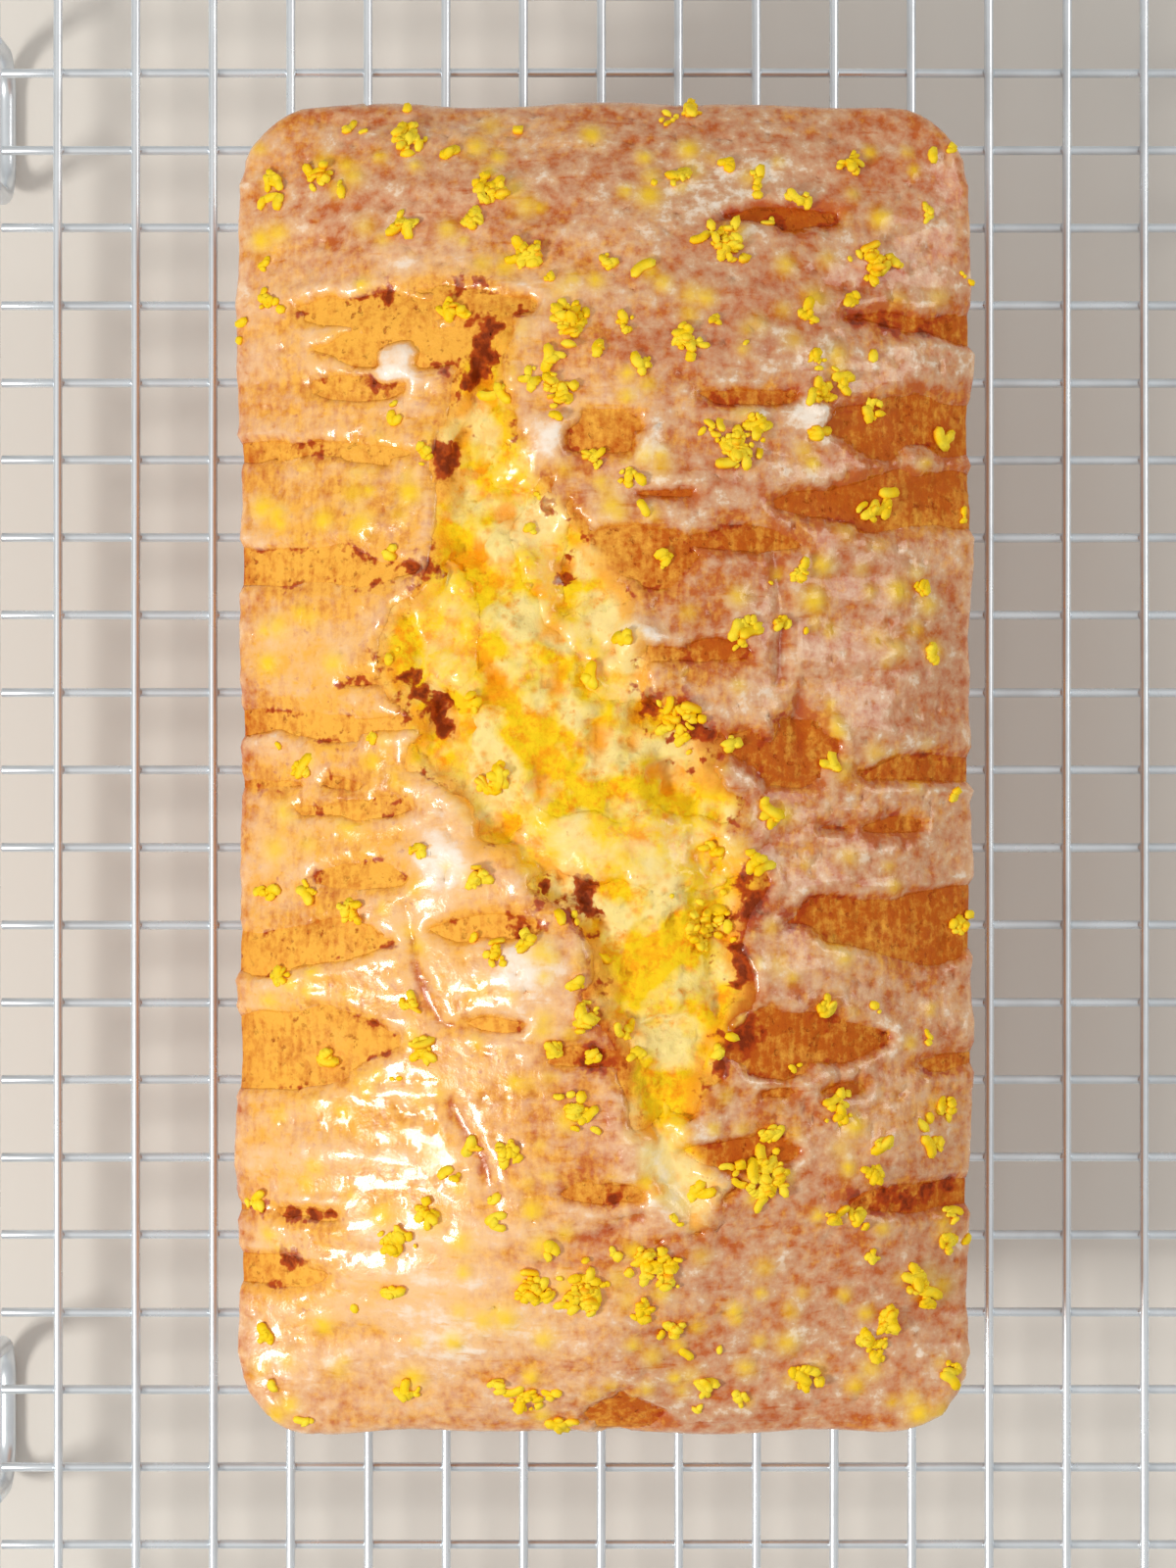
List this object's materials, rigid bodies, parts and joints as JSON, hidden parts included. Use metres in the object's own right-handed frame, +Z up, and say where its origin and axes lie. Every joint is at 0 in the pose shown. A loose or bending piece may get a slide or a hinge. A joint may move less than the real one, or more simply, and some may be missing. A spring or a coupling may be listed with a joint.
{
  "type": "glazed lemon loaf on cooling rack",
  "caption": "Rectangular glazed lemon loaf with a domed, split top, resting on a footed wire cooling rack with a square grid.",
  "frame": {"origin": "on the surface the rack stands on, under the middle of the rack", "axes": "+Y along the loaf and the rack, +X across them to the right, +Z up"},
  "size_m": [0.216, 0.305, 0.0952],
  "materials": {
    "steel": "polished",
    "crust": "matte",
    "glaze": "gloss",
    "zest": "satin"
  },
  "bodies": {
    "root": {"frame_wire": "steel", "long_wire_01": "steel", "long_wire_02": "steel", "long_wire_03": "steel", "long_wire_04": "steel", "long_wire_05": "steel", "long_wire_06": "steel", "long_wire_07": "steel", "long_wire_08": "steel", "long_wire_09": "steel", "long_wire_10": "steel", "long_wire_11": "steel", "long_wire_12": "steel", "long_wire_13": "steel", "long_wire_14": "steel", "long_wire_15": "steel", "long_wire_16": "steel", "cross_wire_01": "steel", "cross_wire_02": "steel", "cross_wire_03": "steel", "cross_wire_04": "steel", "cross_wire_05": "steel", "cross_wire_06": "steel", "cross_wire_07": "steel", "cross_wire_08": "steel", "cross_wire_09": "steel", "cross_wire_10": "steel", "cross_wire_11": "steel", "cross_wire_12": "steel", "cross_wire_13": "steel", "cross_wire_14": "steel", "cross_wire_15": "steel", "cross_wire_16": "steel", "cross_wire_17": "steel", "cross_wire_18": "steel", "cross_wire_19": "steel", "cross_wire_20": "steel", "cross_wire_21": "steel", "cross_wire_22": "steel", "cross_wire_23": "steel", "foot_front_left": "steel", "foot_front_right": "steel", "foot_back_left": "steel", "foot_back_right": "steel", "loaf": "crust", "glaze": "glaze"}
  },
  "joints": []
}
